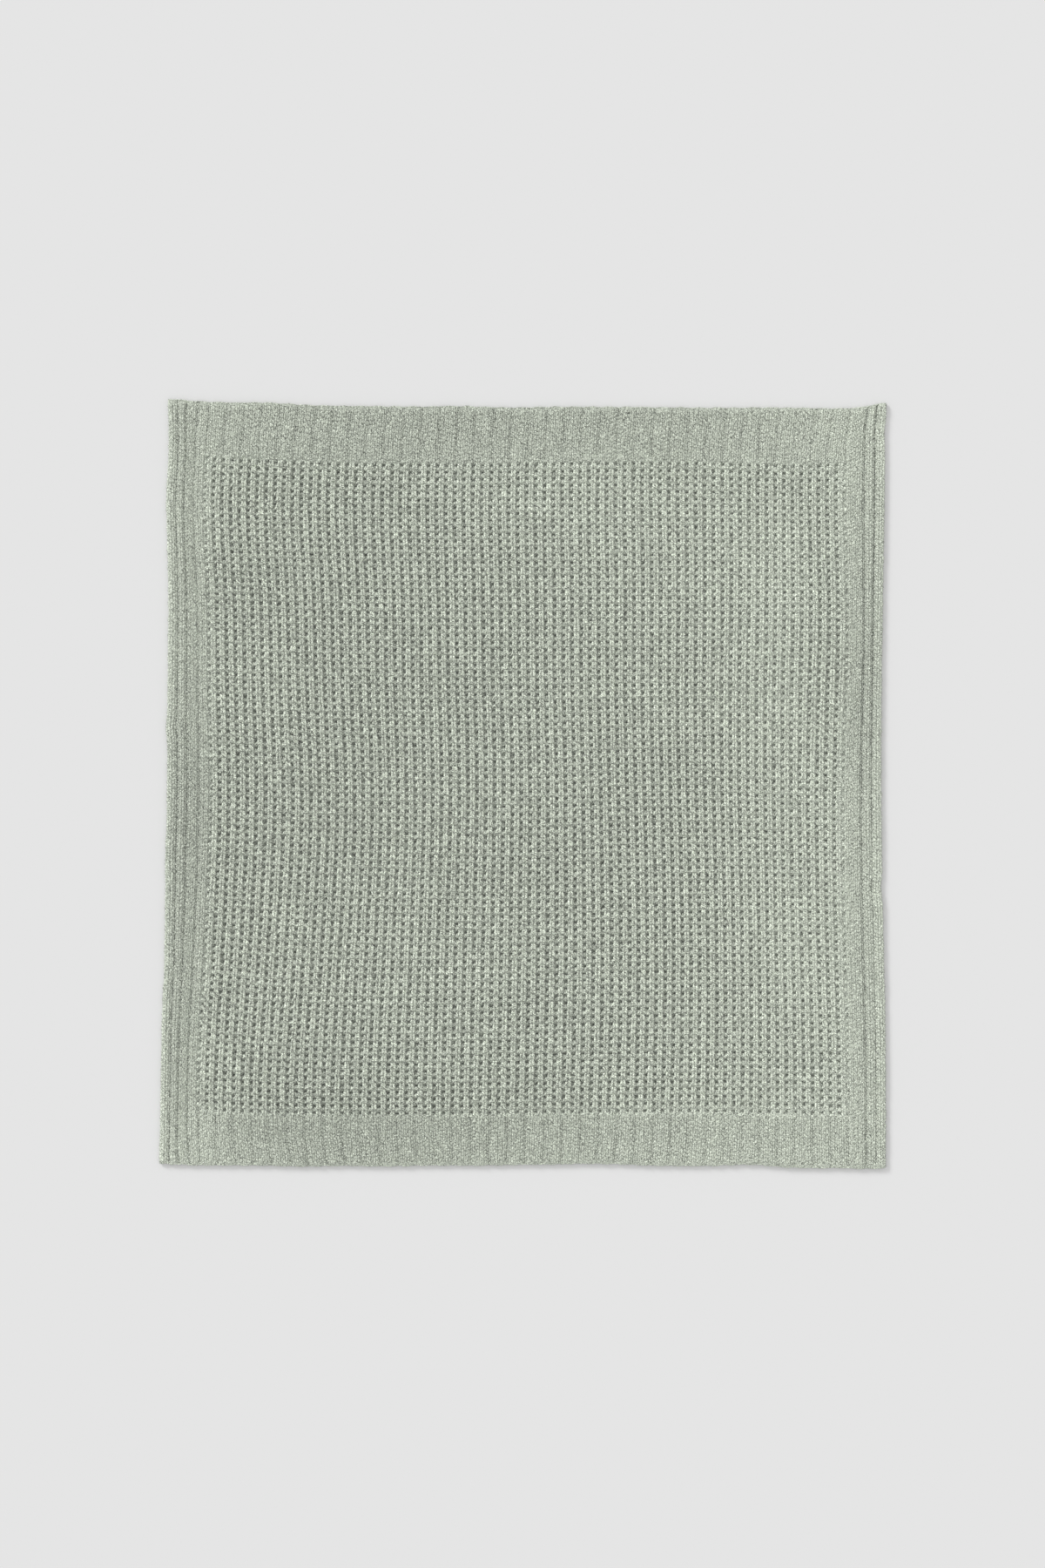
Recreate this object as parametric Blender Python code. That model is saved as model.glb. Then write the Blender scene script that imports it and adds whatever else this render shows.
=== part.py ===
"""A knitted waffle blanket laid out flat, as one closed cloth solid.

The cloth lies on the plane z = 0, with the middle of its outline's box at the origin.
+X runs across the columns of waffle, +Y along them, and +Z is up through the cloth. The
waffle field, the two plain bands and the ribbed side edges are knitted in one, so they
are one body.
"""

import bmesh
import bpy
import numpy as np

NAME = "blanket"

# The outline. A point of the cloth is (u, v): u is 0 to 1 from the left side to the
# right, and v is 0 to 1 from the bottom edge to the top. Sizes are metres.
SIDE_EDGES = (
    # up_v, left_x, right_x
    (0.00, -0.4180, 0.4170),
    (0.16, -0.4155, 0.4170),
    (0.33, -0.4110, 0.4140),
    (0.50, -0.4085, 0.4110),
    (0.61, -0.4080, 0.4110),
    (0.73, -0.4070, 0.4130),
    (0.86, -0.4085, 0.4155),
    (0.95, -0.4065, 0.4165),
    (1.00, -0.4075, 0.4180),
)
CROSS_EDGES = (
    # along_u, bottom_y, top_y
    (0.00, -0.4370, 0.4420),
    (0.05, -0.4385, 0.4390),
    (0.12, -0.4390, 0.4365),
    (0.22, -0.4390, 0.4345),
    (0.40, -0.4390, 0.4330),
    (0.60, -0.4395, 0.4330),
    (0.78, -0.4400, 0.4315),
    (0.90, -0.4420, 0.4300),
    (0.96, -0.4430, 0.4320),
    (1.00, -0.4420, 0.4380),
)

# The thickness, read inward from an edge. Each side has plain ribs with a channel
# between two of them, and past the last row is the waffle field.
FIELD_HEIGHT = 0.0056
LEFT_RIBS = (
    # from_edge, height
    (0.0000, 0.0022),
    (0.0025, 0.0044),
    (0.0075, 0.0044),
    (0.0103, 0.0032),
    (0.0135, 0.0048),
    (0.0185, 0.0048),
    (0.0217, 0.0036),
    (0.0255, 0.0050),
    (0.0310, 0.0050),
    (0.0348, 0.0040),
    (0.0385, 0.0052),
    (0.0440, FIELD_HEIGHT),
)
RIGHT_RIBS = (
    # from_edge, height
    (0.0000, 0.0022),
    (0.0030, 0.0044),
    (0.0105, 0.0044),
    (0.0134, 0.0028),
    (0.0160, 0.0048),
    (0.0210, 0.0048),
    (0.0242, 0.0034),
    (0.0290, 0.0052),
    (0.0380, FIELD_HEIGHT),
)
BAND = (
    # from_edge, height
    (0.0000, 0.0022),
    (0.0030, 0.0042),
    (0.0180, 0.0046),
    (0.0360, 0.0046),
    (0.0560, 0.0050),
    (0.0680, FIELD_HEIGHT),
)

# Soft unevenness of cloth that was smoothed out by hand: long low waves.
WAVES = (
    # cycles_x, cycles_y, turn, rise
    (1.3, 0.7, 0.4, 0.00050),
    (-0.8, 1.6, 2.1, 0.00040),
    (2.6, -1.9, 4.0, 0.00022),
    (0.6, 3.4, 1.2, 0.00018),
)

FIELD_COLUMNS = 38
FIELD_ROWS = 40

CLOTH_COLOUR = (0.36, 0.39, 0.33, 1.0)
CLOTH_ROUGHNESS = 0.95


def smooth_run(table, column, at):
    """Read one column of a table at many places, along a smooth Catmull-Rom curve."""
    rows = np.array(table)
    where, value = rows[:, 0], rows[:, column]
    slope = np.gradient(value, where)
    left = np.clip(np.searchsorted(where, at) - 1, 0, len(where) - 2)
    span = where[left + 1] - where[left]
    t = (at - where[left]) / span
    rise_start = (2 * t**3 - 3 * t**2 + 1) * value[left]
    rise_end = (3 * t**2 - 2 * t**3) * value[left + 1]
    lean_start = (t**3 - 2 * t**2 + t) * span * slope[left]
    lean_end = (t**3 - t**2) * span * slope[left + 1]
    return rise_start + rise_end + lean_start + lean_end


def stops(start_profile, end_profile, length, steps):
    """Grid lines from 0 to 1: one at each profile row, and even ones between them."""
    start = np.array(start_profile)[:, 0]
    end = length - np.array(end_profile)[::-1, 0]
    between = np.linspace(start[-1], end[0], steps + 1)[1:-1]
    return np.concatenate((start, between, end)) / length


def cloth_surface(u, v):
    """The top of the cloth at (u, v): an array of x, y and z.

    x runs straight between the two side edges and y between the two cross edges. z is
    the lower of the two edge profiles there, plus the waves, which die out at the rim.
    """
    left, right = (smooth_run(SIDE_EDGES, column, v) for column in (1, 2))
    bottom, top = (smooth_run(CROSS_EDGES, column, u) for column in (1, 2))
    x = left + u * (right - left)
    y = bottom + v * (top - bottom)

    from_sides = (x - left, right - x)
    from_ends = (y - bottom, top - y)
    profiles = (LEFT_RIBS, RIGHT_RIBS, BAND, BAND)
    heights = [
        np.interp(distance, *np.array(profile).T)
        for distance, profile in zip(from_sides + from_ends, profiles)
    ]
    z = np.minimum.reduce(heights)

    rim = np.minimum.reduce(from_sides + from_ends)
    inner = np.clip(rim / BAND[-1][0], 0.0, 1.0)
    for cycles_x, cycles_y, turn, rise in WAVES:
        z = z + inner * rise * np.sin(2 * np.pi * (cycles_x * u + cycles_y * v) + turn)
    return np.column_stack((x, y, z))


def cloth_material():
    """Plain matt cotton in the cloth's own colour."""
    material = bpy.data.materials.new("sage_cotton")
    material.use_nodes = True
    shader = material.node_tree.nodes["Principled BSDF"]
    shader.inputs["Base Color"].default_value = CLOTH_COLOUR
    shader.inputs["Roughness"].default_value = CLOTH_ROUGHNESS
    shader.inputs["Metallic"].default_value = 0.0
    return material


def close_below(mesh):
    """Drop a wall from the sheet's rim to z = 0 and close it with one flat face."""
    sheet = bmesh.new()
    sheet.from_mesh(mesh)
    rim = [edge for edge in sheet.edges if edge.is_boundary]
    dropped = bmesh.ops.extrude_edge_only(sheet, edges=rim)["geom"]
    for vertex in (item for item in dropped if isinstance(item, bmesh.types.BMVert)):
        vertex.co.z = 0.0
    base = [edge for edge in sheet.edges if edge.is_boundary]
    bmesh.ops.contextual_create(sheet, geom=base)
    bmesh.ops.recalc_face_normals(sheet, faces=sheet.faces[:])
    sheet.to_mesh(mesh)
    sheet.free()


def make_blanket():
    """A flat grid, moved onto the cloth's surface and closed below."""
    width = np.ptp(np.array(SIDE_EDGES)[:, 1:].mean(axis=0))
    length = np.ptp(np.array(CROSS_EDGES)[:, 1:].mean(axis=0))
    u_stops = stops(LEFT_RIBS, RIGHT_RIBS, width, FIELD_COLUMNS)
    v_stops = stops(BAND, BAND, length, FIELD_ROWS)

    bpy.ops.mesh.primitive_grid_add(
        x_subdivisions=len(u_stops) - 1, y_subdivisions=len(v_stops) - 1, size=1.0
    )
    blanket = bpy.context.object
    blanket.name = NAME
    mesh = blanket.data
    mesh.name = NAME

    flat = np.empty(3 * len(mesh.vertices))
    mesh.vertices.foreach_get("co", flat)
    flat = flat.reshape(-1, 3) + 0.5
    u = np.interp(flat[:, 0], np.linspace(0.0, 1.0, len(u_stops)), u_stops)
    v = np.interp(flat[:, 1], np.linspace(0.0, 1.0, len(v_stops)), v_stops)
    points = cloth_surface(u, v)
    points[:, :2] -= 0.5 * (points.min(axis=0) + points.max(axis=0))[:2]
    mesh.vertices.foreach_set("co", points.ravel())
    close_below(mesh)
    mesh.materials.append(cloth_material())
    return blanket


def main():
    for thing in list(bpy.data.objects):
        bpy.data.objects.remove(thing)
    blanket = make_blanket()
    collection = bpy.data.collections.new("waffle_blanket")
    bpy.context.scene.collection.children.link(collection)
    for other in list(blanket.users_collection):
        other.objects.unlink(blanket)
    collection.objects.link(blanket)


main()
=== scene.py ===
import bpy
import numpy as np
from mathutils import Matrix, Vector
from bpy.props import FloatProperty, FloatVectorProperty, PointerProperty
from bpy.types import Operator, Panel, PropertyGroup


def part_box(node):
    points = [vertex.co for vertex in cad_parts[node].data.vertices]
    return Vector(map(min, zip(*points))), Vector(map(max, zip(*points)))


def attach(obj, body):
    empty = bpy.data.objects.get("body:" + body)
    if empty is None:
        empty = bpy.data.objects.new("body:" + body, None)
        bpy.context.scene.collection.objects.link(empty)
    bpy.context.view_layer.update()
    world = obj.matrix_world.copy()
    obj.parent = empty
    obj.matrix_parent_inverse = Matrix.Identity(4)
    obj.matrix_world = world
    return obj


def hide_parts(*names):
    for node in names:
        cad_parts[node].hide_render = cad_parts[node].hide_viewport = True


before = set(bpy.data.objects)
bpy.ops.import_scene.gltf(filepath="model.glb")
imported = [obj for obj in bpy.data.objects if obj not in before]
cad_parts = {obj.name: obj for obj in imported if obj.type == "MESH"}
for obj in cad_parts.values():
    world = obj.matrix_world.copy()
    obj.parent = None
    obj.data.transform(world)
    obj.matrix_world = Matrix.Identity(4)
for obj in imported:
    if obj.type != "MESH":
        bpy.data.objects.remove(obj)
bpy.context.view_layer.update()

# A knitted waffle blanket laid out flat: a thin ground cloth that carries the waffle's
# pits, with the yarn on it as strands. Ribs of slanting stitches run up the field, bars
# cross between them, and small plain stitches make the bands and the ribbed sides.
#
# Every piece is worked out in the cloth's own sizes: across, from the left side, along,
# from the bottom edge, and up, from the surface that the cloth lies on, all in metres.
# One function, lay_out, then puts such points where they lie.

bl_info = {
    "name": "Waffle Knit Blanket",
    "version": (1, 0, 0),
    "blender": (4, 5, 0),
    "location": "3D View > Sidebar > Blanket",
    "description": "Knits a waffle blanket around the packed frame, and sets its stage",
    "category": "Add Mesh",
}

NODE = "blanket"
CLOTH_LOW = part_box(NODE)[0]

# ---------------------------------------------------------------- the cloth's layout

CUT_WIDTH = 0.8225
CUT_LENGTH = 0.8745

# The outline as it lies, repeated from the frame's own tables.
SIDE_EDGES = (
    # up_v, left_x, right_x
    (0.00, -0.4180, 0.4170),
    (0.16, -0.4155, 0.4170),
    (0.33, -0.4110, 0.4140),
    (0.50, -0.4085, 0.4110),
    (0.61, -0.4080, 0.4110),
    (0.73, -0.4070, 0.4130),
    (0.86, -0.4085, 0.4155),
    (0.95, -0.4065, 0.4165),
    (1.00, -0.4075, 0.4180),
)
CROSS_EDGES = (
    # along_u, bottom_y, top_y
    (0.00, -0.4370, 0.4420),
    (0.05, -0.4385, 0.4390),
    (0.12, -0.4390, 0.4365),
    (0.22, -0.4390, 0.4345),
    (0.40, -0.4390, 0.4330),
    (0.60, -0.4395, 0.4330),
    (0.78, -0.4400, 0.4315),
    (0.90, -0.4420, 0.4300),
    (0.96, -0.4430, 0.4320),
    (1.00, -0.4420, 0.4380),
)
OUTLINE_MIDDLE_Y = -0.0005  # the middle of those tables' box, which the frame has at 0

WAVES = (
    # cycles_x, cycles_y, turn, rise
    (1.3, 0.7, 0.4, 0.00050),
    (-0.8, 1.6, 2.1, 0.00040),
    (2.6, -1.9, 4.0, 0.00022),
    (0.6, 3.4, 1.2, 0.00018),
)
WAVE_RIM = 0.068  # the waves die out over this far from the edge

# Where hands smoothing the cloth left its columns and rows pulled aside. The places and
# reaches were chosen one by one. The shifts are not: all but the ninth row's come from a
# least-squares fit done outside this script, and are rounded to half a millimetre.
PULLS = (
    # across, along, reach_across, reach_along, shift_x, shift_y
    (0.14, 0.78, 0.20, 0.11, -0.0055, 0.0),
    (0.57, 0.80, 0.25, 0.09, -0.0025, 0.0),
    (0.17, 0.41, 0.15, 0.13, 0.0070, 0.0),
    (0.14, 0.09, 0.17, 0.11, -0.0050, 0.0),
    (0.53, 0.26, 0.13, 0.23, 0.0060, 0.0),
    (0.78, 0.29, 0.08, 0.22, -0.0035, 0.0),
    (0.39, 0.46, 0.11, 0.11, 0.0030, 0.0),
    (0.78, 0.78, 0.07, 0.12, -0.0035, 0.0),
    (0.79, 0.60, 0.05, 0.11, 0.0024, 0.0),
    (0.29, 0.82, 0.33, 0.08, 0.0, -0.0065),
    (0.73, 0.82, 0.11, 0.08, 0.0, -0.0035),
    (0.04, 0.44, 0.11, 0.19, 0.0, 0.0050),
    (0.26, 0.18, 0.18, 0.13, 0.0, -0.0075),
    (0.40, 0.39, 0.09, 0.13, 0.0, -0.0045),
    (0.61, 0.46, 0.12, 0.22, 0.0, 0.0030),
    (0.76, 0.60, 0.08, 0.12, 0.0, 0.0030),
    (0.74, 0.26, 0.09, 0.13, 0.0, 0.0040),
    (0.04, 0.16, 0.05, 0.15, 0.0, 0.0040),
)
PULL_RIM = 0.040  # the pulls die out over this far from the edge

# Small bulges and hollows of the outline, which reach a little way into the cloth.
RIM_PULLS = (
    # across, along, reach_across, reach_along, shift_x, shift_y
    (0.490, 0.000, 0.055, 0.030, 0.0, 0.0026),
    (0.675, 0.000, 0.025, 0.025, 0.0, 0.0020),
    (0.770, 0.000, 0.020, 0.020, 0.0, 0.0010),
    (0.250, 0.000, 0.030, 0.025, 0.0, -0.0010),
    (0.115, CUT_LENGTH, 0.035, 0.030, 0.0, 0.0018),
    (0.330, CUT_LENGTH, 0.020, 0.020, 0.0, 0.0010),
    (0.400, CUT_LENGTH, 0.025, 0.020, 0.0, -0.0008),
    (0.710, CUT_LENGTH, 0.055, 0.030, 0.0, 0.0020),
    (CUT_WIDTH, 0.520, 0.030, 0.150, 0.0013, 0.0),
    (CUT_WIDTH, 0.320, 0.020, 0.012, -0.0022, 0.0),
    (CUT_WIDTH, 0.840, 0.020, 0.014, -0.0012, 0.0),
    (0.000, 0.500, 0.025, 0.012, -0.0018, 0.0),
    (0.000, 0.760, 0.025, 0.030, -0.0010, 0.0),
    (0.000, 0.230, 0.025, 0.040, 0.0010, 0.0),
    (0.000, 0.355, 0.020, 0.020, -0.0008, 0.0),
    (0.000, 0.080, 0.030, 0.100, 0.0008, 0.0),
    (0.165, 0.000, 0.030, 0.020, 0.0, -0.0012),
    (0.410, 0.000, 0.030, 0.020, 0.0, 0.0008),
    (0.650, 0.000, 0.025, 0.020, 0.0, 0.0010),
    (0.000, 0.440, 0.030, 3.000, 0.0008, 0.0),
    (CUT_WIDTH, 0.440, 0.030, 3.000, -0.0005, 0.0),
    (0.410, 0.000, 3.000, 0.030, 0.0, 0.0008),
    (0.410, CUT_LENGTH, 3.000, 0.030, 0.0, -0.0008),
)
SCALLOP = 0.00035  # how far each rib of the bands stands out at the edge
SCALLOP_REACH = 0.006  # and how far into the cloth that reaches
STILL_HEIGHT = 0.002  # below this height the cloth lifts less with the waves

# Where the yarn is painted a little lighter or darker, by this share of its own lightness. The
# last two rows are painted light along the rims of both sides.
PATCHES = (
    # across, along, reach_across, reach_along, lighter
    (0.15, 0.58, 0.14, 0.26, -0.04),
    (0.18, 0.38, 0.10, 0.10, -0.05),
    (0.18, 0.09, 0.12, 0.08, -0.04),
    (0.40, 0.36, 0.10, 0.07, -0.05),
    (0.56, 0.45, 0.10, 0.07, -0.03),
    (0.34, 0.66, 0.22, 0.16, -0.02),
    (0.06, 0.82, 0.12, 0.09, 0.04),
    (0.76, 0.45, 0.12, 0.50, 0.06),
    (0.60, 0.08, 0.30, 0.08, 0.03),
    (0.46, 0.52, 0.05, 0.12, 0.02),
    (0.45, 0.87, 0.60, 0.06, -0.05),
    (0.45, 0.00, 0.60, 0.06, -0.02),
    (0.02, 0.38, 0.05, 0.13, -0.12),
    (0.03, 0.17, 0.05, 0.07, -0.05),
    (0.02, 0.01, 0.07, 0.05, 0.11),
    (0.13, 0.84, 0.06, 0.05, -0.04),
    (0.34, 0.86, 0.16, 0.04, -0.04),
    (0.46, 0.77, 0.15, 0.05, 0.06),
    (0.55, 0.70, 0.20, 0.08, 0.04),
    (0.69, 0.45, 0.06, 0.35, 0.05),
    (0.72, 0.25, 0.03, 0.06, 0.05),
    (0.80, 0.55, 0.05, 0.11, -0.11),
    (0.82, 0.83, 0.06, 0.06, 0.10),
    (0.33, 0.06, 0.22, 0.05, -0.09),
    (0.44, 0.15, 0.08, 0.06, -0.03),
    (0.12, 0.56, 0.03, 0.06, 0.05),
    (0.35, 0.54, 0.06, 0.06, -0.03),
    (0.65, 0.00, 0.30, 0.03, 0.07),
    (0.07, 0.12, 0.03, 0.04, 0.05),
    (0.18, 0.15, 0.03, 0.12, -0.04),
    (0.76, 0.66, 0.05, 0.14, -0.03),
    (0.68, 0.38, 0.05, 0.10, -0.03),
    (0.57, 0.52, 0.04, 0.06, 0.04),
    (0.82, 0.86, 0.03, 0.03, 0.05),
    (0.71, 0.68, 0.03, 0.06, 0.04),
    (0.07, 0.66, 0.03, 0.04, -0.04),
    (0.00, 0.71, 0.02, 0.04, 0.04),
    (0.056, 0.44, 0.016, 0.60, 0.035),
    (0.768, 0.44, 0.018, 0.60, 0.040),
    (0.41, 0.806, 0.50, 0.012, 0.020),
    (0.41, 0.071, 0.50, 0.012, 0.030),
    (0.42, 0.18, 0.03, 0.04, -0.04),
    (0.00, 0.45, 0.010, 0.60, 0.11),
    (CUT_WIDTH, 0.45, 0.010, 0.60, 0.11),
)

PATCH_PULL = 2.5  # how much wider open the pits are, for each share that the yarn is darker
LEAST_OPEN = 0.6
MOST_OPEN = 1.4
PIT_START = -0.016  # they open from this far outside the outermost pits
PIT_FADE = 0.016  # to this far inside them
FIELD_SOFT = 0.004  # how softly the field's ground meets the plain knitting's

# The knitting's counts and places.
PIT_COLUMNS = 73
PIT_ROWS = 90
FIRST_PIT = 0.0474
LAST_PIT = CUT_WIDTH - 0.0415
BOTTOM_BAND = 0.0600
TOP_BAND = 0.0580
COLUMN_PITCH = (LAST_PIT - FIRST_PIT) / (PIT_COLUMNS - 1)
ROW_PITCH = (CUT_LENGTH - BOTTOM_BAND - TOP_BAND) / PIT_ROWS
FIELD_TOP = CUT_LENGTH - TOP_BAND
PIT_HALF_WIDTH = 0.0021

LEFT_RIDGES = (
    # starts, ends, wales
    (0.0000, 0.0113, 2),
    (0.0113, 0.0217, 2),
    (0.0217, 0.0348, 3),
    (0.0348, FIRST_PIT - PIT_HALF_WIDTH, 2),
)
RIGHT_RIDGES = (
    # starts, ends, wales, read inward from the right side
    (0.0000, 0.0107, 2),
    (0.0107, 0.0212, 2),
    (0.0212, CUT_WIDTH - LAST_PIT - PIT_HALF_WIDTH, 4),
)
CHANNELS = (
    # across, depth_at_bottom, depth_at_top, half_width
    (0.0113, 0.0017, 0.0016, 0.0015),
    (0.0217, 0.0016, 0.0015, 0.0016),
    (0.0348, 0.0014, 0.0010, 0.0016),
    (CUT_WIDTH - 0.0212, 0.0014, 0.0017, 0.0018),
    (CUT_WIDTH - 0.0107, 0.0011, 0.0028, 0.0012),
)
CHANNEL_CHANGE = (0.3, 0.7)  # the shares of the length between which their depths change
# The channels' painted shade: the yarn is painted darker the deeper a channel is.
CHANNEL_SHADE = 130.0  # how much darker the yarn is, for each metre of a channel's depth
BAND_CHANNEL_DEPTH = 0.0008
BAND_CHANNEL_HALF_WIDTH = 0.0020
BAND_CHANNEL_SLACK = 0.001  # the bands' channels reach this far past the outermost pits
BAND_WALES = 2 * PIT_COLUMNS
PLAIN_ROW_PITCH = ROW_PITCH / 2
YARN_UNEVENNESS = 0.032  # how far one strand's lightness strays from the next one's


def smooth_run(table, column, at):
    """Read one column of a table at many places, along a smooth Catmull-Rom curve."""
    rows = np.array(table)
    where, value = rows[:, 0], rows[:, column]
    slope = np.gradient(value, where)
    left = np.clip(np.searchsorted(where, at) - 1, 0, len(where) - 2)
    span = where[left + 1] - where[left]
    t = (at - where[left]) / span
    rise_start = (2 * t**3 - 3 * t**2 + 1) * value[left]
    rise_end = (3 * t**2 - 2 * t**3) * value[left + 1]
    lean_start = (t**3 - 2 * t**2 + t) * span * slope[left]
    lean_end = (t**3 - t**2) * span * slope[left + 1]
    return rise_start + rise_end + lean_start + lean_end


def smooth_step(low, high, value):
    """0 below low, 1 above high, and 3t^2 - 2t^3 between them."""
    t = np.clip((value - low) / (high - low), 0.0, 1.0)
    return t * t * (3.0 - 2.0 * t)


def from_rim(across, along):
    """How far a point of the cloth is from the nearest edge."""
    sides = np.minimum(across, CUT_WIDTH - across)
    ends = np.minimum(along, CUT_LENGTH - along)
    return np.minimum(sides, ends)


def in_field(across, along):
    """1 in the waffle field and 0 in the bands and ribbed sides, with a soft change."""
    inward = np.minimum(
        np.minimum(across - LEFT_RIDGES[-1][1], LAST_PIT + PIT_HALF_WIDTH - across),
        np.minimum(along - BOTTOM_BAND, FIELD_TOP - along),
    )
    return smooth_step(-0.5 * FIELD_SOFT, FIELD_SOFT, inward)


def patch_tone(across, along):
    """How much lighter the yarn is painted at a place: a sum of soft bells, with painted light
    along the side rims.
    """
    tone = np.zeros_like(across)
    for at_across, at_along, reach_across, reach_along, lighter in PATCHES:
        far = ((across - at_across) / reach_across) ** 2
        tone += lighter * np.exp(-far - ((along - at_along) / reach_along) ** 2)
    return tone


def openness(across, along):
    """How far the pits are open: half open at the field's border, and wide open inside.

    They are wider open where the cloth is darker, and drawn together where it is lighter.
    """
    inward = np.minimum(
        np.minimum(across - FIRST_PIT, LAST_PIT - across),
        np.minimum(along - BOTTOM_BAND, FIELD_TOP - along),
    )
    drawn = np.clip(1.0 - PATCH_PULL * patch_tone(across, along), LEAST_OPEN, MOST_OPEN)
    return smooth_step(PIT_START, PIT_FADE, inward) * drawn


def how_closed(across, along):
    """1 where the pits are shut, and 0 where they are wide open."""
    return np.clip(1.0 - openness(across, along), 0.0, 1.0)


def lay_out(cloth):
    """Where points of the cloth lie, as x, y and z.

    With u and v the shares of the cut's width and length, x runs straight between the
    side edges at v and y between the cross edges at u. Each pull then shifts the points
    by its own bell, and the ribs' scallops shift the cross edges by a cosine. Each wave
    lifts the points by rise * sin(2 pi (cx u + cy v) + turn).
    """
    across, along, up = cloth.T
    u = np.clip(across / CUT_WIDTH, 0.0, 1.0)
    v = np.clip(along / CUT_LENGTH, 0.0, 1.0)
    left, right = (smooth_run(SIDE_EDGES, column, v) for column in (1, 2))
    bottom, top = (smooth_run(CROSS_EDGES, column, u) for column in (1, 2))
    x = left + (across / CUT_WIDTH) * (right - left)
    y = bottom + (along / CUT_LENGTH) * (top - bottom) - OUTLINE_MIDDLE_Y

    rim = np.maximum(from_rim(across, along), 0.0)
    held = smooth_step(0.0, PULL_RIM, rim)
    for at_across, at_along, reach_across, reach_along, shift_x, shift_y in PULLS:
        far = ((across - at_across) / reach_across) ** 2
        far = far + ((along - at_along) / reach_along) ** 2
        bell = held * np.exp(-far)
        x = x + shift_x * bell
        y = y + shift_y * bell
    for at_across, at_along, reach_across, reach_along, shift_x, shift_y in RIM_PULLS:
        far = ((across - at_across) / reach_across) ** 2
        bell = np.exp(-far - ((along - at_along) / reach_along) ** 2)
        x = x + shift_x * bell
        y = y + shift_y * bell
    wave = np.cos(np.pi * (across - FIRST_PIT - COLUMN_PITCH) / COLUMN_PITCH)
    top_end = np.exp(-(((along - CUT_LENGTH) / SCALLOP_REACH) ** 2))
    outward = top_end - np.exp(-((along / SCALLOP_REACH) ** 2))
    y = y + SCALLOP * wave * outward

    inner = np.clip(rim / WAVE_RIM, 0.0, 1.0)
    swell = np.zeros_like(x)
    for cycles_x, cycles_y, turn, rise in WAVES:
        swell = swell + rise * np.sin(2 * np.pi * (cycles_x * u + cycles_y * v) + turn)
    lift = np.clip(up / STILL_HEIGHT, 0.0, 1.0)  # the underside stays on the surface
    return np.stack((x, y, up + inner * swell * lift), axis=-1)


def channels(across, along):
    """The depth of the plain knitting's channels: a sum of bells across the wales."""
    depth = np.zeros(np.shape(across))
    for where, low, high, half_width in CHANNELS:
        deep = low + (high - low) * smooth_step(*CHANNEL_CHANGE, along / CUT_LENGTH)
        depth = depth + deep * np.exp(-(((across - where) / half_width) ** 2))
    column = (across - FIRST_PIT) / (2 * COLUMN_PITCH)
    off = (column - np.round(column)) * 2 * COLUMN_PITCH
    groove = BAND_CHANNEL_DEPTH * np.exp(-((off / BAND_CHANNEL_HALF_WIDTH) ** 2))
    inside = (across > FIRST_PIT - BAND_CHANNEL_SLACK) & (across < LAST_PIT + BAND_CHANNEL_SLACK)
    return depth + groove * inside * (1.0 - in_field(across, along))


def rounded(height, across, along, sizes):
    """Height drawn down to the rim, along a quarter of an ellipse."""
    t = np.clip(from_rim(across, along) / sizes.rim_width, 0.0, 1.0)
    return sizes.rim_height + (height - sizes.rim_height) * np.sqrt(t * (2.0 - t))


# ---------------------------------------------------------------- making meshes

MAP_MARGIN = 0.004  # the free share at each side of the baking map


def add_piece(name, cloth, faces, material, looks):
    """One mesh object from cloth points and its faces, laid out and shaded smooth.

    faces is a list of index arrays, one for each number of corners. looks holds the
    values that the material reads at each point: lift, how far the point stands out,
    which sets its painted shade; tone, how light its yarn is, to which the patches are
    added here, with painted light along the side rims; and twist, its place along and
    round its strand.
    """
    points = lay_out(cloth)
    corners = np.concatenate([part.ravel() for part in faces])
    sizes = np.concatenate([np.full(len(part), part.shape[1]) for part in faces])
    mesh = bpy.data.meshes.new(name)
    mesh.vertices.add(len(points))
    mesh.vertices.foreach_set("co", points.ravel())
    mesh.loops.add(len(corners))
    mesh.loops.foreach_set("vertex_index", corners.astype(np.int32))
    mesh.polygons.add(len(sizes))
    mesh.polygons.foreach_set("loop_start", (np.cumsum(sizes) - sizes).astype(np.int32))
    mesh.update(calc_edges=True)
    mesh.shade_smooth()

    # The patches paint the yarn lighter and darker, with painted light along the side rims.
    tone = looks["tone"] + patch_tone(cloth[:, 0], cloth[:, 1])
    for label, values in (("lift", looks["lift"]), ("tone", tone)):
        attribute = mesh.attributes.new(label, "FLOAT", "POINT")
        attribute.data.foreach_set("value", np.ravel(values).astype(np.float32))
    twist = mesh.attributes.new("twist", "FLOAT_VECTOR", "POINT")
    twist.data.foreach_set("vector", np.ravel(looks["twist"]).astype(np.float32))

    add_bake_map(mesh, cloth)
    mesh.materials.append(material)
    piece = bpy.data.objects.new(name, mesh)
    bpy.context.scene.collection.objects.link(piece)
    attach(piece, "root")
    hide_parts(NODE)
    return piece


def add_bake_map(mesh, cloth):
    """A flat map for baking the pattern: faces that look up are in its left half.

    Each point's place is its share of the piece's own width and length, and faces that
    look down have the right half.
    """
    low, high = cloth[:, :2].min(axis=0), cloth[:, :2].max(axis=0)
    share = MAP_MARGIN + (1.0 - 2 * MAP_MARGIN) * (cloth[:, :2] - low) / (high - low)
    corners = np.empty(len(mesh.loops), np.int32)
    mesh.loops.foreach_get("vertex_index", corners)
    totals = np.empty(len(mesh.polygons), np.int32)
    mesh.polygons.foreach_get("loop_total", totals)
    normals = np.empty(3 * len(mesh.polygons), np.float32)
    mesh.polygons.foreach_get("normal", normals)
    down = np.repeat(normals.reshape(-1, 3)[:, 2] < 0.0, totals)
    places = share[corners]
    places[:, 0] = 0.5 * places[:, 0] + np.where(down, 0.5, 0.0)
    layer = mesh.uv_layers.new(name="OFBake")
    layer.data.foreach_set("uv", places.ravel().astype(np.float32))


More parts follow.
